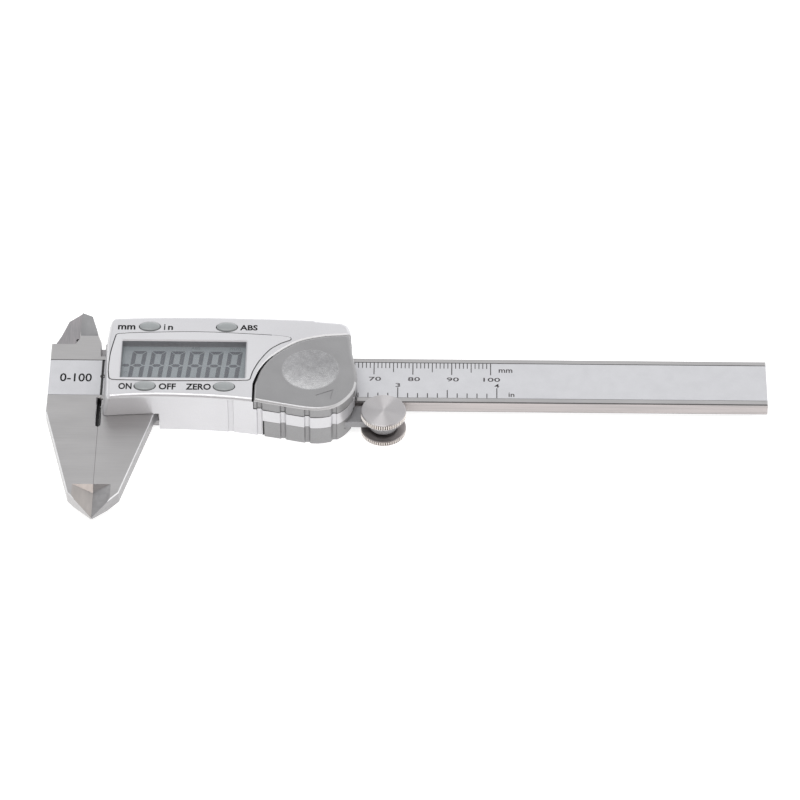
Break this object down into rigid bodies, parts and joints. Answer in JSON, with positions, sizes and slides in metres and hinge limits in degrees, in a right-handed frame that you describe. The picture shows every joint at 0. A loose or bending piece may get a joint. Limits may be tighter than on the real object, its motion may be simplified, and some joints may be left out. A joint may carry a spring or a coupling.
{
  "type": "digital caliper",
  "caption": "Digital caliper lying on its back: steel beam with outside and inside jaws, sliding display housing with keys, battery cover, thumb roller and depth rod.",
  "frame": {"origin": "centre of the bounding box footprint, on the surface the caliper lies on", "axes": "+X along the beam to its free end, +Z out of the display, outer jaws towards -Y"},
  "size_m": [0.1844, 0.0744, 0.013],
  "materials": {
    "steel": "satin ground stainless steel",
    "plate_steel": "brushed stainless sheet",
    "screw_steel": "turned steel",
    "roller_steel": "turned and knurled steel",
    "scale_foil": "fine-grained printed foil",
    "board": "solder-masked circuit board",
    "brass": "satin",
    "felt": "dense felt",
    "black_plastic": "moulded resin",
    "black_rubber": "matte",
    "lcd_glass": "reflective liquid crystal panel",
    "clear_window": "clear polished",
    "silver_plastic": "satin silver lacquer on plastic",
    "grey_plastic": "satin metallic grey",
    "button_grey": "satin",
    "battery_steel": "nickel plated"
  },
  "bodies": {
    "beam_body": {"beam": "steel", "scale_grating_strip": "board", "badge_label": "scale_foil", "scale_label": "scale_foil", "end_stop_plate": "steel", "end_stop_screw_1": "screw_steel", "end_stop_screw_2": "screw_steel"},
    "slider": {"slider_frame": "steel", "gib_strip": "brass", "gib_screw_1": "screw_steel", "gib_screw_2": "screw_steel", "back_plate": "plate_steel", "housing_screw_1": "screw_steel", "housing_screw_2": "screw_steel", "housing_screw_3": "screw_steel", "housing_screw_4": "screw_steel", "depth_rod": "steel", "depth_rod_pin": "screw_steel", "wiper_seal_front": "felt", "wiper_seal_rear": "felt", "main_board": "board", "measuring_chip": "black_plastic", "zebra_connector_1": "black_rubber", "zebra_connector_2": "black_rubber", "lcd_panel": "lcd_glass", "window_gasket": "black_rubber", "display_window": "clear_window", "switch_dome_unit": "brass", "switch_dome_abs": "brass", "switch_dome_power": "brass", "switch_dome_zero": "brass", "housing_cover": "silver_plastic", "display_bezel": "silver_plastic", "battery_contact_negative": "brass", "battery_contact_positive": "brass", "battery": "battery_steel", "battery_seal": "black_rubber", "grip_base": "grey_plastic", "bracket_screw": "screw_steel", "roller_bracket": "grey_plastic", "roller_wave_washer": "screw_steel"},
    "battery_lid": {"battery_cover": "grey_plastic"},
    "thumb_roller": {"roller_axle": "screw_steel", "roller_disc_upper": "roller_steel", "roller_disc_lower": "roller_steel", "roller_screw": "screw_steel"},
    "key_unit": {"button_unit": "button_grey"},
    "key_abs": {"button_abs": "button_grey"},
    "key_power": {"button_power": "button_grey"},
    "key_zero": {"button_zero": "button_grey"}
  },
  "joints": [
    {"name": "slider_travel", "type": "slide", "parent": "beam_body", "child": "slider", "axis": [1, 0, 0], "range_m": [0, 0.1]},
    {"name": "roller_turn", "type": "hinge", "parent": "slider", "child": "thumb_roller", "pos_m": [-0.00603, -0.00143, 0.0055], "axis": [0, 0, 1], "range_deg": [0, 1146]},
    {"name": "battery_cover_slide", "type": "slide", "parent": "slider", "child": "battery_lid", "axis": [1, 0, 0], "range_m": [0, 0.027]},
    {"name": "press_unit", "type": "slide", "parent": "slider", "child": "key_unit", "axis": [0, 0, -1], "range_m": [0, 0.0004], "stiffness_N_per_m": 1500},
    {"name": "press_abs", "type": "slide", "parent": "slider", "child": "key_abs", "axis": [0, 0, -1], "range_m": [0, 0.0004], "stiffness_N_per_m": 1500},
    {"name": "press_power", "type": "slide", "parent": "slider", "child": "key_power", "axis": [0, 0, -1], "range_m": [0, 0.0004], "stiffness_N_per_m": 1500},
    {"name": "press_zero", "type": "slide", "parent": "slider", "child": "key_zero", "axis": [0, 0, -1], "range_m": [0, 0.0004], "stiffness_N_per_m": 1500}
  ],
  "couplings": [
    {"joint": "roller_turn", "follows": "slider_travel", "rad_per_m": 200}
  ]
}
